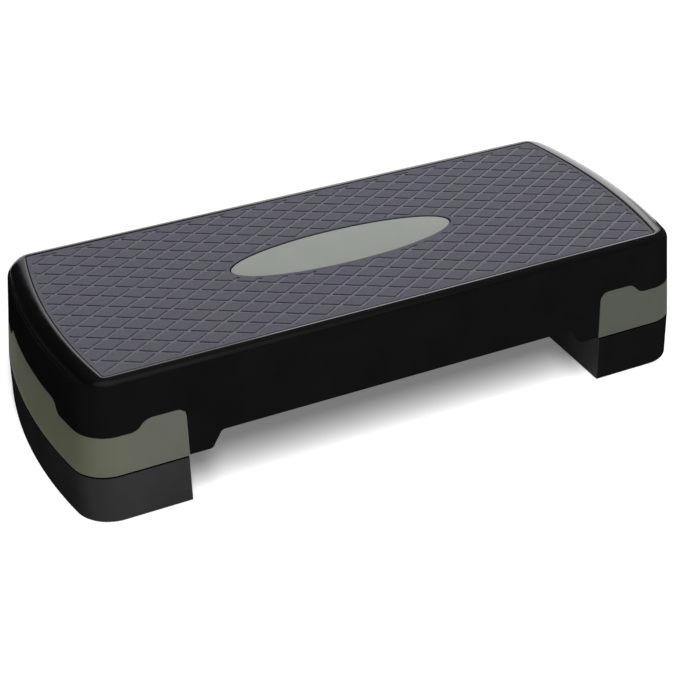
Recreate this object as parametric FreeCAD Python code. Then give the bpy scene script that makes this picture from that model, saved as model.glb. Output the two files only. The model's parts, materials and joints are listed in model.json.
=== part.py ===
import FreeCAD, Part
import math
import os

os.makedirs("parts", exist_ok=True)

# Aerobic step platform, millimetres.
# X runs along the length, Y from front (minus) to back, Z up from the floor.

# Overall size
half_length_floor = 342.0
half_length_seam = 340.8
half_width_floor = 140.0
width_draft = 0.037
end_draft = 0.105
seam_height = 50.0
deck_height = 150.0
end_radius = 560.0
corner_radius_floor = 38.0
corner_radius_top = 34.0

# Deck shell
wall = 3.0
deck_bottom = 51.5
end_round_start = 138.5
end_round_inset = 17.0
side_round_start = 141.3
side_round_inset = 8.7
rim_corner_radius = 7.0
top_plate_bottom = 142.5
mat_seat = 147.0
arch_height = 69.0
arch_half = 193.0
arch_foot_half = 203.5
arch_round = 5.0
rib_bottom = 112.0
rib_thick = 2.5
rib_xs = (-260.0, -195.0, -98.0, 0.0, 98.0, 195.0, 260.0)
rib_ys = (-66.0, 0.0, 66.0)
post_radius = 6.0
post_hole_radius = 2.1
post_xs = (252.0, 298.0)
post_ys = (-84.0, 84.0)

# Shape of the seam between deck and riser
leg_inner = 226.0
leg_top = 103.5
leg_low = 92.5
leg_round = 9.5
front_wave_start = 259.0
front_wave_end = 281.0
end_wave_start = 64.0
end_wave_end = 82.0
seam_gap = 0.45

# Grip line on each end of the deck
grip_half = 96.0
grip_low = 142.4
grip_high = 143.8
grip_depth = 1.2

# Riser
riser_bottom = 50.8
riser_plate_low = 98.0
riser_plate_high = 101.0
band_wall = 3.4
collar_gap = 0.3
collar_thick = 2.6
collar_low = 84.0
riser_rib_low = 64.5
riser_rib_ys = (-62.0, 0.0, 62.0)
riser_rib_x = 275.0

# Foot
foot_bottom = 0.8
foot_top = 49.3
foot_plate = 3.0
foot_inner = 227.2
tongue_gap = 0.6
tongue_thick = 2.6
tongue_top = 64.0
foot_rib_low = 8.0
foot_rib_ys = (-92.0, -32.0, 32.0, 92.0)
foot_rib_x = 275.0
pad_xs = (251.0, 302.0)
pad_ys = (-92.0, 92.0)
pad_long = 32.0
pad_wide = 20.0
pad_corner = 3.0
pad_seat_wall = 2.5
pad_top = 3.8

# Tread mat and oval plate
mat_half_length = 309.0
mat_half_width = 121.9
mat_end_radius = 600.0
mat_corner = 3.0
mat_gap = 1.2
mat_bottom = 147.0
mat_tile_top = 150.0
zone_half_width = 118.0
zone_half_length = 305.0
zone_corner = 1.5
tile_pitch_x = 36.6
tile_pitch_y = 22.0
tile_channel = 3.8
channel_bottom = 149.0
tile_origin_x = -293.1
tile_origin_y = 4.2
oval_half_x = 122.7
oval_half_y = 33.7
oval_gap = 1.4
oval_ring = 4.0
oval_top = 149.2
oval_bottom = 147.0
oval_chamfer = 0.5

# Screws, with few sides because they repeat and stay out of sight
screw_head_radius = 4.2
screw_head = 2.6
screw_shank_radius = 1.8
screw_length = 14.0
screw_sides = 6
post_sides = 8


def point(x, y, z):
    return FreeCAD.Vector(x, y, z)


def half_length(z):
    # half length of the outside at height z, below the rounded rim
    if z <= seam_height:
        lean = (half_length_floor - half_length_seam) / seam_height
        return half_length_floor - lean * max(z - foot_bottom, 0.0)
    return half_length_seam - end_draft * (z - seam_height)


def half_width(z):
    return half_width_floor - width_draft * max(z - foot_bottom, 0.0)


def corner_radius(z):
    part = min(z / end_round_start, 1.0)
    return corner_radius_floor + (corner_radius_top - corner_radius_floor) * part


def outline(length, width, radius, bulge, z):
    # closed outline with bowed ends and rounded corners
    cx = length - bulge
    yc = width - radius
    xc = cx + math.sqrt((bulge - radius) ** 2 - yc ** 2)
    a = math.atan2(yc, xc - cx)
    tx = cx + bulge * math.cos(a)
    ty = bulge * math.sin(a)
    b = 0.5 * (a + 0.5 * math.pi)
    mx = xc + radius * math.cos(b)
    my = yc + radius * math.sin(b)
    edges = []
    edges.append(Part.Arc(point(tx, -ty, z), point(length, 0, z), point(tx, ty, z)).toShape())
    edges.append(Part.Arc(point(tx, ty, z), point(mx, my, z), point(xc, width, z)).toShape())
    edges.append(Part.makeLine(point(xc, width, z), point(-xc, width, z)))
    edges.append(Part.Arc(point(-xc, width, z), point(-mx, my, z), point(-tx, ty, z)).toShape())
    edges.append(Part.Arc(point(-tx, ty, z), point(-length, 0, z), point(-tx, -ty, z)).toShape())
    edges.append(Part.Arc(point(-tx, -ty, z), point(-mx, -my, z), point(-xc, -width, z)).toShape())
    edges.append(Part.makeLine(point(-xc, -width, z), point(xc, -width, z)))
    edges.append(Part.Arc(point(xc, -width, z), point(mx, -my, z), point(tx, -ty, z)).toShape())
    return Part.Wire(edges)


def body_outline(z, inset):
    return outline(
        half_length(z) - inset,
        half_width(z) - inset,
        max(corner_radius(z) - inset, 2.0),
        end_radius - inset,
        z,
    )


def body_block(low, high, inset):
    # drafted solid between two heights, all around
    return Part.makeLoft([body_outline(low, inset), body_outline(high, inset)], True, True)


def round_part(z, start):
    s = min(max((z - start) / (deck_height - start), 0.0), 1.0)
    return 1.0 - math.sqrt(max(1.0 - s * s, 0.0))


def rim_outline(z, inset):
    turn = round_part(z, end_round_start)
    side = round_part(z, side_round_start)
    radius = corner_radius_top + (rim_corner_radius - corner_radius_top) * turn
    return outline(
        half_length(z) - end_round_inset * turn - inset,
        half_width(z) - side_round_inset * side - inset,
        radius,
        end_radius,
        z,
    )


def prism(wire, vector):
    return Part.Face(wire).extrude(vector)


def box(x0, x1, y0, y1, z0, z1):
    return Part.makeBox(x1 - x0, y1 - y0, z1 - z0, point(x0, y0, z0))


def many_sided(x, y, z0, z1, radius, sides):
    # upright prism on a regular polygon
    corners = []
    for k in range(sides + 1):
        a = 2.0 * math.pi * (k % sides) / sides
        corners.append(point(x + radius * math.cos(a), y + radius * math.sin(a), z0))
    return prism(Part.makePolygon(corners), point(0, 0, z1 - z0))


def wave(a0, b0, a1, b1):
    # two equal arcs, level at both ends, as five points
    half = math.atan2(abs(b1 - b0), abs(a1 - a0))
    radius = 0.5 * abs(a1 - a0) / math.sin(2.0 * half)
    da = radius * math.sin(half)
    db = radius * (1.0 - math.cos(half))
    if a1 < a0:
        da = -da
    if b1 > b0:
        db = -db
    middle = (0.5 * (a0 + a1), 0.5 * (b0 + b1))
    return [(a0, b0), (a0 + da, b0 - db), middle, (a1 - da, b1 + db), (a1, b1)]


def front_leg_cut(side, gap):
    # region under the skirt edge seen from the front, through the whole depth
    y = -200.0

    def p(a, b):
        return point(side * a, y, b)

    inner = leg_inner + gap
    top = leg_top - gap
    low = leg_low - gap
    r = leg_round
    k = r * (1.0 - math.sqrt(0.5))
    w = wave(front_wave_start, top, front_wave_end, low)
    edges = []
    edges.append(Part.makeLine(p(inner, 30), p(inner, top - r)))
    edges.append(Part.Arc(p(inner, top - r), p(inner + k, top - k), p(inner + r, top)).toShape())
    edges.append(Part.makeLine(p(inner + r, top), p(w[0][0], w[0][1])))
    edges.append(Part.Arc(p(*w[0]), p(*w[1]), p(*w[2])).toShape())
    edges.append(Part.Arc(p(*w[2]), p(*w[3]), p(*w[4])).toShape())
    edges.append(Part.makeLine(p(w[4][0], w[4][1]), p(360, low)))
    edges.append(Part.makeLine(p(360, low), p(360, 30)))
    edges.append(Part.makeLine(p(360, 30), p(inner, 30)))
    return prism(Part.Wire(edges), point(0, 400, 0))


def end_leg_cut(side, gap):
    # region under the skirt edge seen from the end, only through the end wall
    x = side * 288.0

    def p(a, b):
        return point(x, a, b)

    top = leg_top - gap
    low = leg_low - gap
    w = wave(end_wave_start, top, end_wave_end, low)
    v = [(-a, b) for a, b in w]
    edges = []
    edges.append(Part.makeLine(p(*v[0]), p(*w[0])))
    edges.append(Part.Arc(p(*w[0]), p(*w[1]), p(*w[2])).toShape())
    edges.append(Part.Arc(p(*w[2]), p(*w[3]), p(*w[4])).toShape())
    edges.append(Part.makeLine(p(*w[4]), p(end_wave_end, 30)))
    edges.append(Part.makeLine(p(end_wave_end, 30), p(-end_wave_end, 30)))
    edges.append(Part.makeLine(p(-end_wave_end, 30), p(*v[4])))
    edges.append(Part.Arc(p(*v[4]), p(*v[3]), p(*v[2])).toShape())
    edges.append(Part.Arc(p(*v[2]), p(*v[1]), p(*v[0])).toShape())
    return prism(Part.Wire(edges), point(side * 72.0, 0, 0))


def leg_cut(side, gap):
    return front_leg_cut(side, gap).fuse(end_leg_cut(side, gap))


def arch_cut(y, depth):
    # open arch between the two legs, with rounded corners, through one skirt
    run = arch_foot_half - arch_half
    rise = arch_height - deck_bottom
    slope = math.atan2(rise, run)
    reach = arch_round * math.tan(0.5 * slope)
    ux = math.cos(slope)
    uz = math.sin(slope)

    def p(a, b):
        return point(a, y, b)

    def corner(x, z, sign, level):
        # tangent points and middle of the rounding between a level line and the slope
        flat = (x + level * reach, z)
        steep = (x + sign * reach * ux, z - sign * reach * uz)
        centre_z = z - sign * arch_round
        centre = (flat[0], centre_z)
        mx = 0.5 * (flat[0] + steep[0]) - centre[0]
        mz = 0.5 * (flat[1] + steep[1]) - centre[1]
        size = math.hypot(mx, mz)
        middle = (centre[0] + arch_round * mx / size, centre[1] + arch_round * mz / size)
        return flat, middle, steep

    upper = corner(arch_half, arch_height, 1.0, -1.0)
    lower = corner(arch_foot_half, deck_bottom, -1.0, 1.0)
    half = [upper[0], upper[1], upper[2], lower[2], lower[1], lower[0]]
    m = [(-a, b) for a, b in half]
    base = 20.0
    edges = []
    edges.append(Part.makeLine(p(*m[0]), p(*half[0])))
    edges.append(Part.Arc(p(*half[0]), p(*half[1]), p(*half[2])).toShape())
    edges.append(Part.makeLine(p(*half[2]), p(*half[3])))
    edges.append(Part.Arc(p(*half[3]), p(*half[4]), p(*half[5])).toShape())
    edges.append(Part.makeLine(p(*half[5]), p(half[5][0], base)))
    edges.append(Part.makeLine(p(half[5][0], base), p(m[5][0], base)))
    edges.append(Part.makeLine(p(m[5][0], base), p(*m[5])))
    edges.append(Part.Arc(p(*m[5]), p(*m[4]), p(*m[3])).toShape())
    edges.append(Part.makeLine(p(*m[3]), p(*m[2])))
    edges.append(Part.Arc(p(*m[2]), p(*m[1]), p(*m[0])).toShape())
    return prism(Part.Wire(edges), point(0, depth, 0))


def make_deck():
    levels = [end_round_start, 141.3, 144.0, 146.5, 148.4, 149.5, 150.0]
    lower = body_block(deck_bottom, end_round_start, 0.0)
    arch = arch_cut(-150.0, 30.0)
    lower = lower.cut(arch)
    arch.rotate(point(0, 0, 0), point(0, 0, 1), 180)
    lower = lower.cut(arch)
    rim = Part.makeLoft([rim_outline(z, 0.0) for z in levels], True, True)
    outside = lower.fuse(rim)
    shell = outside.cut(body_block(deck_bottom - 5.0, top_plate_bottom, wall))
    recess = prism(
        outline(
            mat_half_length + mat_gap,
            mat_half_width + mat_gap,
            mat_corner + mat_gap,
            mat_end_radius,
            mat_seat,
        ),
        point(0, 0, 20),
    )
    shell = shell.cut(recess)
    half = 0.5 * rib_thick
    rib_top = top_plate_bottom + 1
    ribs = []
    for x in rib_xs:
        ribs.append(box(x - half, x + half, -150, 150, rib_bottom, rib_top))
    for y in rib_ys:
        ribs.append(box(-350, 350, y - half, y + half, rib_bottom, rib_top))
    lattice = ribs[0].multiFuse(ribs[1:])
    lattice = lattice.common(body_block(rib_bottom, rib_top, wall - 0.5))
    posts = []
    for side in (-1, 1):
        for x in post_xs:
            for y in post_ys:
                low = riser_plate_high
                posts.append(many_sided(side * x, y, low, rib_top, post_radius, post_sides))
    shell = shell.multiFuse([lattice] + posts)
    holes = []
    for side in (-1, 1):
        for x in post_xs:
            for y in post_ys:
                low = riser_plate_high - 1.0
                holes.append(many_sided(side * x, y, low, low + 16.0, post_hole_radius, screw_sides))
    shell = shell.cut(Part.makeCompound(holes))
    for side in (-1, 1):
        # the posts stand above the leg cut, so it only trims the outer skirt
        ring = body_block(deck_bottom - 5.0, end_round_start - 2.5, -3.0)
        ring = ring.cut(body_block(deck_bottom - 6.0, end_round_start - 2.0, wall + 0.2))
        shell = shell.cut(leg_cut(side, 0.0).common(ring))
        band = prism(rim_outline(grip_low, -4.0), point(0, 0, grip_high - grip_low))
        core = prism(rim_outline(grip_high, grip_depth), point(0, 0, grip_high - grip_low))
        core.translate(point(0, 0, grip_low - grip_high))
        x0 = min(side * 280.0, side * 380.0)
        x1 = max(side * 280.0, side * 380.0)
        slot = band.cut(core).common(box(x0, x1, -grip_half, grip_half, 100, 149))
        shell = shell.cut(slot)
    return shell.removeSplitter()


def make_riser(side):
    x0 = min(side * leg_inner, side * 380.0)
    x1 = max(side * leg_inner, side * 380.0)
    hull = body_block(riser_bottom, leg_top + 6.0, 0.0)
    skin = hull.cut(body_block(riser_bottom - 1.0, leg_top + 7.0, band_wall))
    band = skin.common(leg_cut(side, seam_gap))
    band = band.common(box(x0, x1, -200, 200, riser_bottom, 130))
    # plate and collar go up inside the deck's skirt
    inset = wall + collar_gap
    face = leg_inner + 2.0
    c0 = min(side * face, side * 380.0)
    c1 = max(side * face, side * 380.0)
    w0 = min(side * face, side * (face + wall))
    w1 = max(side * face, side * (face + wall))
    tray = body_block(collar_low, riser_plate_high, inset)
    tray = tray.cut(body_block(collar_low - 1.0, riser_plate_low, inset + collar_thick))
    tray = tray.common(box(c0, c1, -200, 200, 0, 200))
    inner = body_block(riser_bottom, riser_plate_high, inset)
    inner = inner.common(box(w0, w1, -200, 200, 0, 200))
    ribs = []
    for y in riser_rib_ys:
        ribs.append(box(c0, c1, y - 1.25, y + 1.25, riser_rib_low, riser_plate_low + 1.0))
    middle = side * riser_rib_x
    ribs.append(box(middle - 1.25, middle + 1.25, -200, 200, riser_rib_low, riser_plate_low + 1.0))
    lattice = ribs[0].multiFuse(ribs[1:])
    lattice = lattice.common(body_block(riser_rib_low, riser_plate_low + 1.0, inset))
    riser = band.multiFuse([tray, inner, lattice])
    holes = []
    for x in post_xs:
        for y in post_ys:
            low = riser_plate_low - 1.0
            holes.append(many_sided(side * x, y, low, low + 8.0, post_hole_radius + 0.2, screw_sides))
    return riser.cut(Part.makeCompound(holes)).removeSplitter()


def pad_block(x, y, z0, z1, grow):
    # rectangular block with cut corners, long side across the step
    a = 0.5 * pad_wide + grow
    b = 0.5 * pad_long + grow
    c = pad_corner
    outline_points = [(a, b - c), (a - c, b), (c - a, b), (-a, b - c)]
    outline_points += [(-a, c - b), (c - a, -b), (a - c, -b), (a, c - b), (a, b - c)]
    wire = Part.makePolygon([point(x + u, y + v, z0) for u, v in outline_points])
    return prism(wire, point(0, 0, z1 - z0))


def make_foot(side):
    x0 = min(side * foot_inner, side * 380.0)
    x1 = max(side * foot_inner, side * 380.0)
    keep = box(x0, x1, -200, 200, -10, 100)
    w0 = min(side * foot_inner, side * (foot_inner + wall))
    w1 = max(side * foot_inner, side * (foot_inner + wall))
    hull = body_block(foot_bottom, foot_top, 0.0)
    skin = hull.cut(body_block(foot_bottom - 0.5, foot_top + 1.0, wall)).common(keep)
    inner = hull.common(box(w0, w1, -200, 200, -10, 100))
    plate = body_block(foot_top - foot_plate, foot_top, 0.3).common(keep)
    inset = band_wall + tongue_gap
    start = leg_inner + 2.0 + wall + tongue_gap
    t0 = min(side * start, side * 380.0)
    t1 = max(side * start, side * 380.0)
    u0 = min(side * (start + tongue_thick), side * 380.0)
    u1 = max(side * (start + tongue_thick), side * 380.0)
    seat = foot_top - 1.0
    tongue = body_block(seat, tongue_top, inset).common(box(t0, t1, -200, 200, 0, 100))
    core = body_block(seat - 1.0, tongue_top + 1.0, inset + tongue_thick)
    core = core.common(box(u0, u1, -200, 200, 0, 100))
    tongue = tongue.cut(core)
    ribs = []
    for y in foot_rib_ys:
        ribs.append(box(x0, x1, y - 1.25, y + 1.25, foot_rib_low, foot_top - 1.0))
    middle = side * foot_rib_x
    ribs.append(box(middle - 1.25, middle + 1.25, -200, 200, foot_rib_low, foot_top - 1.0))
    lattice = ribs[0].multiFuse(ribs[1:])
    lattice = lattice.common(body_block(foot_rib_low, foot_top - 1.0, 1.0)).common(keep)
    seats = []
    holes = []
    for x in pad_xs:
        for y in pad_ys:
            seats.append(pad_block(side * x, y, foot_bottom, foot_top - 1.0, pad_seat_wall))
            holes.append(pad_block(side * x, y, foot_bottom - 1.0, pad_top, 0.25))
    foot = skin.multiFuse([inner, plate, tongue, lattice] + seats)
    return foot.cut(Part.makeCompound(holes)).removeSplitter()


def make_pad(x, y):
    return pad_block(x, y, 0.0, pad_top, 0.0)


def make_screws(side):
    screws = []
    for x in post_xs:
        for y in post_ys:
            top = riser_plate_low
            low = top - screw_head
            head = many_sided(side * x, y, low, top, screw_head_radius, screw_sides)
            shank = many_sided(side * x, y, low + 1.0, low + screw_length, screw_shank_radius, screw_sides)
            screws.append(head.fuse(shank).removeSplitter())
    return Part.makeCompound(screws)


def ellipse_face(half_x, half_y, z):
    curve = Part.Ellipse(point(0, 0, z), half_x, half_y)
    return Part.Face(Part.Wire([curve.toShape()]))


def make_plate():
    solid = ellipse_face(oval_half_x, oval_half_y, oval_bottom).extrude(point(0, 0, oval_top - oval_bottom))
    rim = [e for e in solid.Edges if e.BoundBox.ZMin > oval_top - 0.01]
    return solid.makeChamfer(oval_chamfer, rim)


def channel(x, y, slope):
    # long V-shaped cutter through a point of the mat
    half = 0.5 * tile_channel
    depth = mat_tile_top - channel_bottom
    above = 1.0
    half_above = half * (depth + above) / depth
    along = point(math.cos(slope), math.sin(slope), 0)
    across = point(-math.sin(slope), math.cos(slope), 0)
    start = point(x, y, channel_bottom) - along * 700.0
    rise = point(0, 0, depth + above)
    corners = [start, start + rise + across * half_above, start + rise - across * half_above, start]
    return prism(Part.makePolygon(corners), along * 1400.0)


def make_mat():
    mat = prism(
        outline(mat_half_length, mat_half_width, mat_corner, mat_end_radius, mat_bottom),
        point(0, 0, mat_tile_top - mat_bottom),
    )
    # the tile field leaves a plain border and a plain ring round the oval, level with the tiles
    through = point(0, 0, 10)
    field = prism(outline(zone_half_length, zone_half_width, zone_corner, mat_end_radius, mat_bottom), through)
    reach = oval_gap + oval_ring
    field = field.cut(ellipse_face(oval_half_x + reach, oval_half_y + reach, mat_bottom).extrude(through))
    # two sets of channels cross and leave the diamond tiles
    slope = math.atan2(tile_pitch_y, tile_pitch_x)
    for turn in (slope, -slope):
        cutters = []
        for k in range(-7, 24):
            cutters.append(channel(tile_origin_x + tile_pitch_x * (k + 0.5), tile_origin_y, turn))
        mat = mat.cut(Part.makeCompound(cutters).common(field))
    hole = ellipse_face(oval_half_x + oval_gap, oval_half_y + oval_gap, mat_bottom - 1)
    return mat.cut(hole.extrude(through))


def save(shape, name):
    shape.exportStep("parts/" + name + ".step")
    print(name, "solids", len(shape.Solids), "faces", len(shape.Faces), "valid", shape.isValid())


save(make_deck(), "deck_shell")
save(make_mat(), "tread_mat")
save(make_plate(), "centre_plate")
for side, label in ((-1, "left"), (1, "right")):
    save(make_riser(side), label + "_riser")
    save(make_foot(side), label + "_foot")
    save(make_screws(side), label + "_riser_screws")
    for pad_x, where_x in zip(pad_xs, ("inner", "outer")):
        for pad_y, where_y in zip(pad_ys, ("front", "rear")):
            name = label + "_pad_" + where_y + "_" + where_x
            save(make_pad(side * pad_x, pad_y), name)
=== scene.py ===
import json
import math

import bmesh
import bpy
from mathutils import Matrix, Vector


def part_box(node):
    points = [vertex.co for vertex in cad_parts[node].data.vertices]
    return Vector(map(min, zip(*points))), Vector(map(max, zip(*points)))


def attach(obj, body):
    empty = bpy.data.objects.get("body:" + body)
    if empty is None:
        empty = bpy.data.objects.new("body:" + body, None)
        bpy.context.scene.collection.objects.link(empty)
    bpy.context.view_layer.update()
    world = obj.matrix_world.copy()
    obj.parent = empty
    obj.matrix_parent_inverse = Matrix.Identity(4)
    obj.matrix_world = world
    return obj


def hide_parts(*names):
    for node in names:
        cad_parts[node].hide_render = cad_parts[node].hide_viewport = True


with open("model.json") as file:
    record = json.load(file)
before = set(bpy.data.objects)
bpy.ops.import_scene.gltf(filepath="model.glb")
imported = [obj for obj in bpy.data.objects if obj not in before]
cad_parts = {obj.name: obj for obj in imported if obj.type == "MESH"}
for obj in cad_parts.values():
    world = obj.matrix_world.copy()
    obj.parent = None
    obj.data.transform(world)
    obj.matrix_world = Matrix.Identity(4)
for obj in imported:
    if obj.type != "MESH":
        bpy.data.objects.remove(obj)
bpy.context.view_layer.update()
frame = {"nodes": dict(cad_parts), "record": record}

# Aerobic step platform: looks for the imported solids.
# Metres, X along the length, front towards -Y, Z up from the floor.

scene = bpy.context.scene
scene.view_settings.view_transform = "Standard"
nodes = frame["nodes"]

# Camera at the photograph's viewing angle
frame_px = 676.0
focal_px = 1567.0
azimuth = math.radians(-25.60)
elevation = math.radians(31.13)
roll = math.radians(-0.67)
distance = 1.636
target = Vector((0.0, 0.0, 0.075))
centre_px = (5.8, -29.4)

# Meshes: points closer than this are one, edges sharper than these are beveled or shaded sharp
merge_distance = 0.00001
bevel_angle = math.radians(40.0)
sharp_angle = math.radians(28.0)

# Tread mat relief: depth of the channels and width of their steep sides
tile_height = 0.0010
tile_flank = 0.0006
mat_edge = 0.0002

# Heights on the deck where its matt skirt gives way to the satin rim
satin_low = 0.1445
satin_high = 0.1465

# Sizes of the plastics' mottling and of the stretch along their edges that is painted lighter,
# part painted highlight and part rubbed wear
mottle_scale = 26.0
edge_highlight_and_wear_width = 0.0012

# Half length over which the feet's and risers' painted light and shade change
painted_light_reach = 0.345

# Half length between the feet's smooth inner walls, and the painted shadow line at the joint above
# the feet
inner_wall = 0.2270
seam_shadow_low = 0.0488
seam_shadow_height = 0.003

# Floor: half its side, and the distances between which it brightens to the backdrop's white
floor_half = 12.0
floor_near = 0.9
floor_far = 2.5

# Directions of the bright part of the backdrop and of the faint panel overhead
backdrop_side = Vector((0.40, 0.916, 0.0))
panel_side = Vector((-0.25, -0.50, 0.83))
dim = 0.01


def grey(value):
    return (value, value, value)


black = grey(0.0)
white = grey(1.0)


def add_camera():
    back = Vector((
        math.sin(azimuth) * math.cos(elevation),
        -math.cos(azimuth) * math.cos(elevation),
        math.sin(elevation),
    ))
    level = Vector((math.cos(azimuth), math.sin(azimuth), 0.0))
    rise = back.cross(level)
    right = level * math.cos(roll) + rise * math.sin(roll)
    up = rise * math.cos(roll) - level * math.sin(roll)
    data = bpy.data.cameras.new("camera")
    data.sensor_width = 36.0
    data.lens = focal_px * data.sensor_width / frame_px
    data.shift_x = -centre_px[0] / frame_px
    data.shift_y = centre_px[1] / frame_px
    data.clip_start = 0.05
    data.clip_end = 60.0
    camera = bpy.data.objects.new("camera", data)
    scene.collection.objects.link(camera)
    turn = Matrix((right, up, back)).transposed().to_4x4()
    camera.matrix_world = Matrix.Translation(target + back * distance) @ turn
    scene.camera = camera


class Graph:
    """Short names for building one node tree: a material's, the world's or a modifier's."""

    def __init__(self, tree):
        self.tree = tree
        self.coord = None

    def add(self, kind, **values):
        node = self.tree.nodes.new(kind)
        for key, value in values.items():
            setattr(node, key, value)
        return node

    def link(self, a, b):
        self.tree.links.new(a, b)

    def feed(self, socket, value):
        if isinstance(value, bpy.types.NodeSocket):
            self.link(value, socket)
        elif isinstance(value, tuple):
            socket.default_value = (*value, 1.0)
        else:
            socket.default_value = value

    def noise(self, scale, detail=4.0):
        node = self.add("ShaderNodeTexNoise")
        self.feed(node.inputs["Scale"], scale)
        self.feed(node.inputs["Detail"], detail)
        self.link(self.coord, node.inputs["Vector"])
        return node.outputs["Fac"]

    def ramp(self, source, stops):
        node = self.add("ShaderNodeValToRGB")
        points = node.color_ramp.elements
        while len(points) < len(stops):
            points.new(0.5)
        for point, (place, colour) in zip(points, stops):
            point.position = place
            point.color = (*colour, 1.0)
        self.link(source, node.inputs["Fac"])
        return node.outputs["Color"]

    def span(self, source, low, high, bottom=0.0, top=1.0):
        # bottom below low, top above high and a straight line between
        node = self.add("ShaderNodeMapRange")
        self.feed(node.inputs["From Min"], low)
        self.feed(node.inputs["From Max"], high)
        self.feed(node.inputs["To Min"], bottom)
        self.feed(node.inputs["To Max"], top)
        self.link(source, node.inputs["Value"])
        return node.outputs["Result"]

    def math(self, operation, a, b=0.0):
        node = self.add("ShaderNodeMath", operation=operation)
        self.feed(node.inputs[0], a)
        self.feed(node.inputs[1], b)
        return node.outputs[0]

    def dot(self, a, b):
        node = self.add("ShaderNodeVectorMath", operation="DOT_PRODUCT")
        self.feed(node.inputs[0], a)
        self.feed(node.inputs[1], b)
        return node.outputs["Value"]

    def along(self, axis):
        node = self.add("ShaderNodeSeparateXYZ")
        self.link(self.coord, node.inputs["Vector"])
        return node.outputs[axis]

    def mix(self, factor, a, b, kind="MIX"):
        node = self.add("ShaderNodeMix", data_type="RGBA", blend_type=kind)
        self.feed(node.inputs["Factor"], factor)
        colours = [socket for socket in node.inputs if socket.type == "RGBA"]
        self.feed(colours[0], a)
        self.feed(colours[1], b)
        return next(socket for socket in node.outputs if socket.type == "RGBA")

    def times(self, a, b):
        return self.mix(1.0, a, b, "MULTIPLY")

    def looked_at(self):
        # 1 for rays from the camera, from reflections and through glass, 0 for light that bounces
        path = self.add("ShaderNodeLightPath").outputs
        direct = self.math("MAXIMUM", path["Is Camera Ray"], path["Is Glossy Ray"])
        return self.math("MAXIMUM", direct, path["Is Transmission Ray"])


class Surface(Graph):
    """A material with one principled shader, in the object's own coordinates."""

    def __init__(self, name):
        self.material = bpy.data.materials.new(name)
        self.material.use_nodes = True
        super().__init__(self.material.node_tree)
        self.shader = self.tree.nodes["Principled BSDF"]
        self.coord = self.add("ShaderNodeTexCoord").outputs["Object"]

    def put(self, name, value):
        self.feed(self.shader.inputs[name], value)

    def bump(self, source, strength, depth):
        node = self.add("ShaderNodeBump")
        self.feed(node.inputs["Strength"], strength)
        self.feed(node.inputs["Distance"], depth)
        self.link(source, node.inputs["Height"])
        self.put("Normal", node.outputs["Normal"])

    def mottled(self, colour, spread):
        # the colour in faint darker and lighter patches
        return self.ramp(self.noise(mottle_scale), shades(colour, spread))

    def lengthwise_painted_light(self, stops):
        # painted light and shade that change from the left end of the object to the right
        return self.ramp(self.span(self.along("X"), -painted_light_reach, painted_light_reach), stops)

    def edge_highlight_and_wear(self):
        # up to 1 along edges, in broken stretches, and 0 on the faces: the edges painted lighter,
        # part painted highlight and part rubbed wear
        rounded = self.add("ShaderNodeBevel", samples=6)
        self.feed(rounded.inputs["Radius"], edge_highlight_and_wear_width)
        flat = self.add("ShaderNodeNewGeometry").outputs["Normal"]
        edge = self.span(self.dot(rounded.outputs["Normal"], flat), 0.80, 0.98, 1.0, 0.0)
        broken = self.span(self.noise(90.0, 5.0), 0.40, 0.62, 0.15, 1.0)
        return self.math("MULTIPLY", edge, broken)


def shades(colour, spread):
    dark = tuple(c * (1.0 - spread) for c in colour)
    light = tuple(c * (1.0 + spread) for c in colour)
    return [(0.3, dark), (0.7, light)]


def moulded(name, rough, grain, depth, specular):
    # uneven gloss and a fine grained skin, still without a colour
    s = Surface(name)
    s.put("Roughness", s.span(s.noise(60.0, 3.0), 0.3, 0.7, *rough))
    s.put("Specular IOR Level", specular)
    s.bump(s.noise(grain, 2.0), 0.5, depth)
    return s


def one_colour(name, colour, spread, rough, grain, depth, specular):
    s = moulded(name, rough, grain, depth, specular)
    s.put("Base Color", s.mottled(colour, spread))
    return s


def deck_plastic():
    # matt skirt and satin rim, which reaches lower on the right end but not round its front
    # corner; painted shade makes the rim darker than the skirt, most at the left end
    s = moulded("deck_black", (0.07, 0.12), 1400.0, 0.00002, 0.0)
    right_end = s.span(s.along("X"), 0.300, 0.310)
    lower = s.math("MULTIPLY", right_end, s.span(s.along("Y"), -0.105, -0.045, -0.0035, 0.005))
    satin = s.span(s.math("ADD", s.along("Z"), lower), satin_low, satin_high)
    # painted shade: the rim's colour, darkest at the left end
    rim = s.ramp(
        s.span(s.along("X"), -0.315, -0.295),
        [(0.0, (0.003, 0.003, 0.0032)), (1.0, (0.009, 0.009, 0.0094))],
    )
    tone_with_painted_light = s.mix(satin, s.mottled((0.0130, 0.0130, 0.0135), 0.12), rim)
    # edges painted lighter: part painted highlight, part rubbed wear
    s.put("Base Color", s.mix(s.edge_highlight_and_wear(), tone_with_painted_light, (0.030, 0.030, 0.031)))
    s.put("Specular IOR Level", satin)
    return s.material


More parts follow.
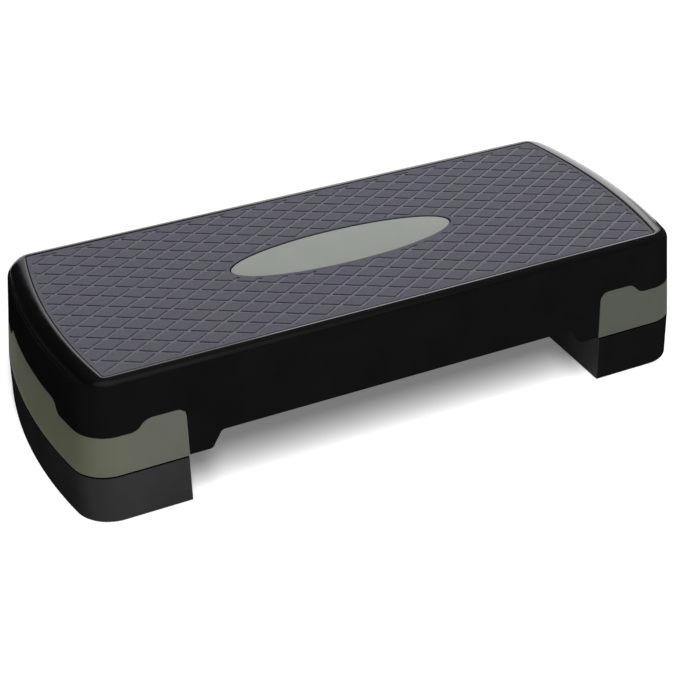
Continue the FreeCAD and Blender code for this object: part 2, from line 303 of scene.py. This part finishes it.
def foot_plastic():
    # painted sheen makes the left foot greyer than the right one, most on its front; a painted
    # shadow line darkens both just below the joint with the risers; both smoother inside
    s = moulded("foot_black", (0.55, 0.68), 1300.0, 0.00008, 0.0)
    # painted sheen: lighter on the left foot, most on its front
    tone_with_painted_light = s.lengthwise_painted_light([
        (0.01, (0.034, 0.034, 0.035)),
        (0.035, (0.064, 0.064, 0.067)),
        (0.2, (0.064, 0.064, 0.067)),
        (0.85, (0.0145, 0.0145, 0.015)),
    ])
    # painted shadow: a dark band just below the joint of foot and riser
    seam_shadow = s.ramp(
        s.span(s.along("Z"), seam_shadow_low, seam_shadow_low + seam_shadow_height),
        [(0.0, white), (0.12, grey(0.1)), (0.75, grey(0.1)), (1.0, white)],
    )
    # edges painted lighter: part painted highlight, part rubbed wear
    body = s.mix(s.edge_highlight_and_wear(), s.times(tone_with_painted_light, s.mottled(white, 0.12)), (0.075, 0.075, 0.077))
    s.put("Base Color", s.times(body, seam_shadow))
    side = s.math("ABSOLUTE", s.along("X"))
    s.put("Specular IOR Level", s.span(side, inner_wall, inner_wall + 0.0005, 0.35, 0.0))
    return s.material


def riser_plastic():
    # a little more olive at the left end, and painted shade makes it darker at the right
    s = moulded("riser_grey_green", (0.55, 0.65), 1500.0, 0.00005, 0.02)
    # painted shade: darker towards the right
    tone_with_painted_light = s.lengthwise_painted_light([
        (0.0, (0.258, 0.271, 0.185)),
        (0.05, (0.258, 0.270, 0.190)),
        (0.12, (0.250, 0.258, 0.214)),
        (0.85, (0.190, 0.206, 0.168)),
    ])
    body = s.times(tone_with_painted_light, s.mottled(white, 0.03))
    # edges painted lighter: part painted highlight, part rubbed wear
    s.put("Base Color", s.mix(s.edge_highlight_and_wear(), body, (0.36, 0.37, 0.31)))
    return s.material


def mat_rubber():
    # tile tops tinted in soft patches; painted sheen pales the channel floors, more towards the
    # right; painted shade darkens the steep sides and the gaps round the mat and plate; painted
    # highlights along the tile tops' edges
    s = moulded("mat_grey", (0.74, 0.88), 900.0, 0.00008, 0.12)
    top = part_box("tread_mat")[1][2]
    level = s.span(s.along("Z"), top - 1.25 * tile_height, top)
    patch = s.ramp(
        s.noise(30.0, 2.0),
        [(0.35, (0.111, 0.109, 0.137)), (0.65, (0.114, 0.113, 0.132))],
    )
    speck = s.ramp(s.noise(420.0, 3.0), shades(white, 0.12))
    # painted shade below the channel floors and on the steep sides, painted highlight near the
    # tile tops' edges, pale channel floors
    relief = s.ramp(level, [
        (0.13, grey(0.15)),
        (0.18, (1.00, 1.00, 0.98)),
        (0.24, (1.00, 1.00, 0.98)),
        (0.34, grey(0.85)),
        (0.80, grey(0.85)),
        (0.88, grey(1.15)),
        (0.97, grey(1.15)),
        (0.995, white),
    ])
    floors = s.ramp(level, [(0.13, black), (0.18, white), (0.24, white), (0.34, black)])
    # painted sheen on the channel floors, stronger towards the right
    channel_painted_sheen = s.mix(floors, white, s.span(s.along("X"), -0.3, 0.3, 1.35, 1.65))
    s.put("Base Color", s.times(s.times(s.times(patch, speck), relief), channel_painted_sheen))
    return s.material


def plate_plastic():
    colour = (0.295, 0.313, 0.290)
    return one_colour(
        "plate_grey_green", colour, 0.025, (0.48, 0.58), 1500.0, 0.00004, 0.15
    ).material


def pad_rubber():
    return one_colour("pad_rubber", grey(0.022), 0.2, (0.75, 0.9), 1100.0, 0.0001, 0.2).material


def screw_metal():
    colour = (0.55, 0.55, 0.54)
    s = one_colour("screw_steel", colour, 0.1, (0.25, 0.4), 1500.0, 0.00002, 0.5)
    s.put("Metallic", 1.0)
    return s.material


def smooth_group():
    # geometry nodes that keep sharp edges sharp and shade the rest smooth
    group = bpy.data.node_groups.new("smooth_by_angle", "GeometryNodeTree")
    group.interface.new_socket("Geometry", in_out="INPUT", socket_type="NodeSocketGeometry")
    group.interface.new_socket("Geometry", in_out="OUTPUT", socket_type="NodeSocketGeometry")
    g = Graph(group)
    start = g.add("NodeGroupInput")
    end = g.add("NodeGroupOutput")
    merge = g.add("GeometryNodeMergeByDistance")
    g.feed(merge.inputs["Distance"], merge_distance)
    drop = g.add("GeometryNodeRemoveAttribute")
    g.feed(drop.inputs["Name"], "custom_normal")
    faces = g.add("GeometryNodeSetShadeSmooth", domain="FACE")
    edges = g.add("GeometryNodeSetShadeSmooth", domain="EDGE")
    measure = g.add("GeometryNodeInputMeshEdgeAngle")
    compare = g.add("FunctionNodeCompare", data_type="FLOAT", operation="LESS_EQUAL")
    g.feed(compare.inputs["B"], sharp_angle)
    g.link(measure.outputs["Unsigned Angle"], compare.inputs["A"])
    g.link(compare.outputs["Result"], edges.inputs["Shade Smooth"])
    g.link(start.outputs[0], merge.inputs["Geometry"])
    g.link(merge.outputs["Geometry"], drop.inputs["Geometry"])
    g.link(drop.outputs["Geometry"], faces.inputs["Geometry"])
    g.link(faces.outputs["Geometry"], edges.inputs["Geometry"])
    g.link(edges.outputs["Geometry"], end.inputs[0])
    return group


def dress(piece, material, edge):
    # material, softened edges of the given width and smooth shading
    piece.data.materials.clear()
    piece.data.materials.append(material)
    piece.modifiers.new("weld", "WELD").merge_threshold = merge_distance
    if edge:
        bevel = piece.modifiers.new("edge", "BEVEL")
        bevel.width = edge
        bevel.segments = 2
        bevel.limit_method = "ANGLE"
        bevel.angle_limit = bevel_angle
        bevel.use_clamp_overlap = True
    piece.modifiers.new("smooth", "NODES").node_group = smooth


def mat_with_channels():
    # the mat with its V channels opened out to flat floors between steep sides
    floor_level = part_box("tread_mat")[1][2] - tile_height
    mesh = bmesh.new()
    mesh.from_mesh(nodes["tread_mat"].data)
    bmesh.ops.remove_doubles(mesh, verts=mesh.verts, dist=merge_distance)
    channels = [f for f in mesh.faces if 0.2 < f.normal.z < 0.99]
    bmesh.ops.inset_region(
        mesh, faces=channels, thickness=tile_flank, use_even_offset=True, use_boundary=True
    )
    for v in {v for f in channels for v in f.verts}:
        v.co.z = floor_level
    bmesh.ops.dissolve_degenerate(mesh, edges=mesh.edges, dist=merge_distance)
    data = bpy.data.meshes.new("tread_mat_relief")
    mesh.to_mesh(data)
    mesh.free()
    piece = bpy.data.objects.new("tread_mat_relief", data)
    scene.collection.objects.link(piece)
    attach(piece, "deck")
    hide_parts("tread_mat")
    return piece


def add_floor():
    # white paper that keeps the object's shadow and throws little light back on it
    quarters = [(-1, -1), (1, -1), (1, 1), (-1, 1)]
    corners = [(x * floor_half, y * floor_half, 0.0) for x, y in quarters]
    mesh = bpy.data.meshes.new("floor")
    mesh.from_pydata(corners, [], [(0, 1, 2, 3)])
    floor = bpy.data.objects.new("floor", mesh)
    scene.collection.objects.link(floor)
    s = Surface("floor_paper")
    shown = s.looked_at()
    paper = s.ramp(s.noise(3.0), [(0.3, grey(0.95)), (0.7, grey(0.98))])
    s.put("Base Color", s.mix(shown, grey(0.28), paper))
    away = s.add("ShaderNodeVectorMath", operation="LENGTH")
    s.link(s.coord, away.inputs[0])
    glow = s.span(away.outputs["Value"], floor_near, floor_far, 0.17, 1.0)
    s.put("Emission Color", s.mix(shown, black, glow))
    s.put("Emission Strength", 1.0)
    s.put("Roughness", 0.9)
    s.put("Specular IOR Level", 0.0)
    mesh.materials.append(s.material)
    return floor


def add_world():
    # White past the floor, which reflections see bright on one side and faintly overhead,
    # and a soft fill on the object, weaker on the left
    world = bpy.data.worlds.new("studio")
    scene.world = world
    world.use_nodes = True
    g = Graph(world.node_tree)
    g.coord = g.add("ShaderNodeTexCoord").outputs["Generated"]
    fill = g.tree.nodes["Background"]
    backdrop = g.add("ShaderNodeBackground")
    blend = g.add("ShaderNodeMixShader")
    g.feed(fill.inputs["Strength"], 1.0)
    g.feed(backdrop.inputs["Strength"], 1.0)
    g.link(g.span(g.along("X"), -1.0, 0.6, 0.03, 0.27), fill.inputs["Color"])
    side = g.ramp(
        g.span(g.dot(g.coord, backdrop_side), 0.80, 0.90),
        [(0.22, grey(dim)), (0.34, grey(0.5)), (0.54, grey(0.62)), (0.75, white)],
    )
    bright = g.math("MINIMUM", side, g.span(g.along("X"), 0.70, 0.78, 1.0, dim))
    panel = g.span(g.dot(g.coord, panel_side), 0.70, 0.96, 0.0, 0.18)
    from_camera = g.add("ShaderNodeLightPath").outputs["Is Camera Ray"]
    seen = g.math("MAXIMUM", from_camera, g.math("MAXIMUM", bright, panel))
    g.link(seen, backdrop.inputs["Color"])
    g.link(g.looked_at(), blend.inputs["Fac"])
    g.link(fill.outputs[0], blend.inputs[1])
    g.link(backdrop.outputs[0], blend.inputs[2])
    g.link(blend.outputs[0], g.tree.nodes["World Output"].inputs["Surface"])


def softbox(name, lights, place, aim, size, power, mirrored=False):
    # lamp on the pieces of one group: mirrored ones show in reflections only, the rest in none
    data = bpy.data.lights.new(name, "AREA")
    data.shape = "RECTANGLE"
    data.size, data.size_y = size
    data.energy = power
    lamp = bpy.data.objects.new(name, data)
    scene.collection.objects.link(lamp)
    lamp.location = place
    lamp.rotation_euler = (Vector(aim) - Vector(place)).to_track_quat("-Z", "Y").to_euler()
    lamp.visible_camera = False
    lamp.visible_diffuse = not mirrored
    lamp.visible_glossy = mirrored
    lamp.light_linking.receiver_collection = lights


def group_of(name, pieces):
    group = bpy.data.collections.new(name)
    for piece in pieces:
        group.objects.link(piece)
    return group


add_camera()

# Material and width of the softened edges, by the record's slots
finish = {
    "deck_black": (deck_plastic(), 0.0006),
    "mat_grey": (mat_rubber(), 0.0),
    "foot_black": (foot_plastic(), 0.0006),
    "riser_grey_green": (riser_plastic(), 0.0004),
    "plate_grey_green": (plate_plastic(), 0.0004),
    "pad_rubber": (pad_rubber(), 0.0004),
    "screw_steel": (screw_metal(), 0.0002),
}
smooth = smooth_group()
for row in frame["record"]["subparts"]:
    dress(nodes[row["node"]], *finish[row["material_slot"]])
relief = mat_with_channels()
dress(relief, finish["mat_grey"][0], mat_edge)

floor = add_floor()
add_world()
step = group_of("step", [*nodes.values(), relief])
ground = group_of("ground", [floor])
softbox("key_light", step, (1.5, 2.4, 3.8), (0.0, 0.0, 0.1), (2.6, 2.0), 212.0)
softbox("front_fill", step, (-0.4, -3.3, 1.3), (0.0, 0.0, 0.08), (2.0, 1.4), 35.0)
softbox("rim_light", step, (2.155, 2.297, 0.9), (0.33, 0.0, 0.15), (0.75, 1.6), 3.0, True)
softbox("back_light", step, (1.3, 2.52, 1.48), (0.1, 0.13, 0.15), (0.85, 0.45), 2.1, True)
softbox("floor_light", ground, (-1.1, -3.75, 6.5), (0.0, -0.1, 0.0), (2.0, 5.0), 600.0)
